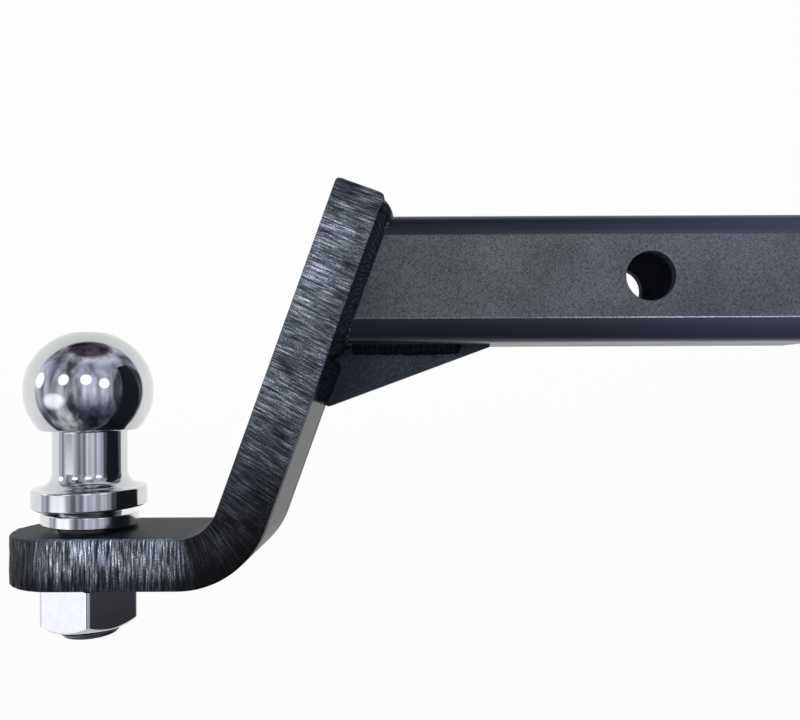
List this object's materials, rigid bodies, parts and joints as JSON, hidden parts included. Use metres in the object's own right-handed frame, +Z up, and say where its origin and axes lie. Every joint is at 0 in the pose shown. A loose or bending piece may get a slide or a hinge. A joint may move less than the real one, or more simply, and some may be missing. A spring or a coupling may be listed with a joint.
{
  "type": "trailer hitch ball mount",
  "caption": "Drop ball mount: square receiver shank with a pin bore, welded to a bent plate with a gusset, carrying a chrome tow ball held by a lock washer and nut.",
  "frame": {"origin": "centre of the hitch pin bore, on the axis of the square shank", "axes": "+X along the shank towards the vehicle and the shank's open end, +Y across along the pin bore, +Z up through the tow ball's top"},
  "size_m": [0.3281, 0.051, 0.183],
  "materials": {
    "satin_black_paint": "satin black powder coat on steel",
    "painted_weld": "rippled weld bead under the same black coat",
    "chrome_plate": "bright chrome plate on turned steel",
    "zinc_plate": "bright zinc plate"
  },
  "bodies": {
    "root": {"shank_tube": "satin_black_paint", "drop_plate": "satin_black_paint", "gusset": "satin_black_paint", "shank_weld": "painted_weld", "gusset_shank_weld_right": "painted_weld", "gusset_shank_weld_left": "painted_weld", "gusset_plate_weld_right": "painted_weld", "gusset_plate_weld_left": "painted_weld", "tow_ball": "chrome_plate", "lock_washer": "zinc_plate", "ball_nut": "zinc_plate"}
  },
  "joints": []
}
